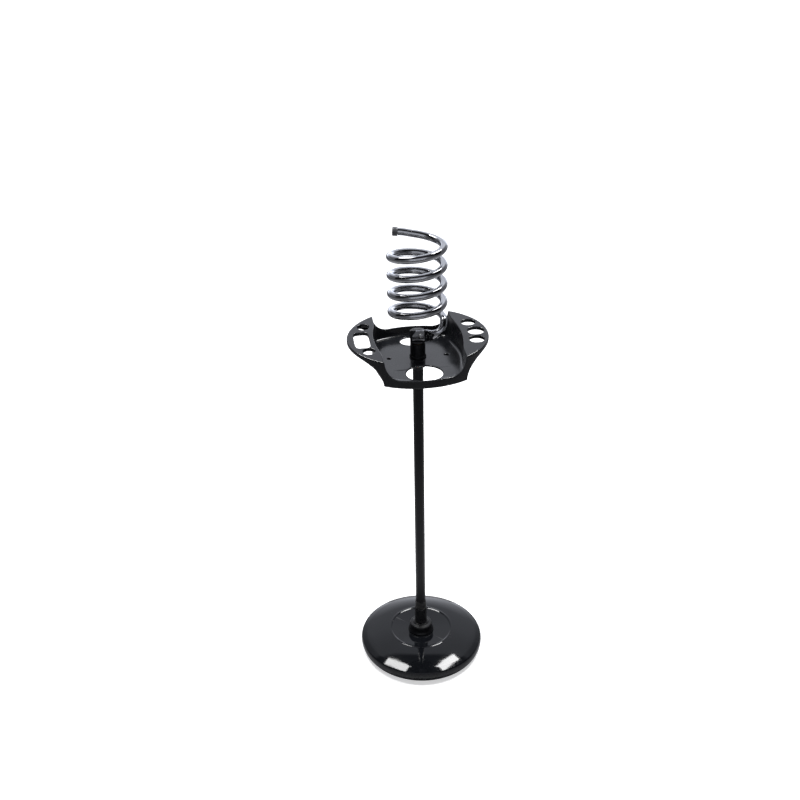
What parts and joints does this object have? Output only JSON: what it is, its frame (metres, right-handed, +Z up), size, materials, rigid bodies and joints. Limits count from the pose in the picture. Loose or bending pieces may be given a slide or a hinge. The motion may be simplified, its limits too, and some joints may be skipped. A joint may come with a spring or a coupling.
{
  "type": "hair dryer floor stand",
  "caption": "Floor stand with a weighted round base, one post, a two-winged tool tray and a chrome spiral tube that cradles a hand dryer.",
  "frame": {"origin": "on the floor under the post's axis, at the centre of the round base", "axes": "+Z up along the post, -Y towards the tray's open front, +X to the tray's right wing as seen from the front"},
  "size_m": [0.286, 0.28, 0.9943],
  "materials": {
    "base_gloss": "polished black moulding",
    "weight_iron": "rough as cast",
    "plate_paint": "semi-matt black powder coat",
    "foot_rubber": "matt",
    "zinc_screw": "bright zinc plate",
    "bare_steel": "turned steel",
    "fitting_black": "satin black",
    "black_screw": "blackened socket screw",
    "ferrule_rubber": "dull black sleeve",
    "post_paint": "semi-gloss black enamel",
    "washer_nylon": "natural nylon",
    "tray_plastic": "satin-gloss black moulding",
    "bush_brass": "turned",
    "coil_chrome": "polished plate",
    "cap_plastic": "satin dark plug"
  },
  "bodies": {
    "stand": {"base_cover": "base_gloss", "base_weight": "weight_iron", "base_plate": "plate_paint", "rubber_foot_1": "foot_rubber", "rubber_foot_2": "foot_rubber", "rubber_foot_3": "foot_rubber", "rubber_foot_4": "foot_rubber", "rubber_foot_5": "foot_rubber", "plate_screw_1": "zinc_screw", "plate_screw_2": "zinc_screw", "plate_screw_3": "zinc_screw", "plate_screw_4": "zinc_screw", "tie_bolt": "zinc_screw", "tie_washer": "zinc_screw", "base_spacer": "bare_steel", "base_flange": "fitting_black", "post_collar": "fitting_black", "collar_screw": "black_screw", "post_ferrule": "ferrule_rubber", "post_tube": "post_paint", "post_plug": "bare_steel", "post_head": "bare_steel", "tray_washer": "washer_nylon", "hub": "fitting_black", "hub_screw": "black_screw", "spindle_bush": "bush_brass"},
    "tray": {"tray": "tray_plastic"},
    "spiral": {"swivel_head": "fitting_black", "spiral_coil": "coil_chrome", "coil_end_cap": "cap_plastic", "tab_screw": "zinc_screw"}
  },
  "joints": [
    {"name": "tray_swivel", "type": "hinge", "parent": "stand", "child": "tray", "pos_m": [0, 0, 0.739], "axis": [0, 0, 1], "continuous": true},
    {"name": "spiral_swivel", "type": "hinge", "parent": "stand", "child": "spiral", "pos_m": [0, 0, 0.775], "axis": [0, 0, 1], "continuous": true}
  ]
}
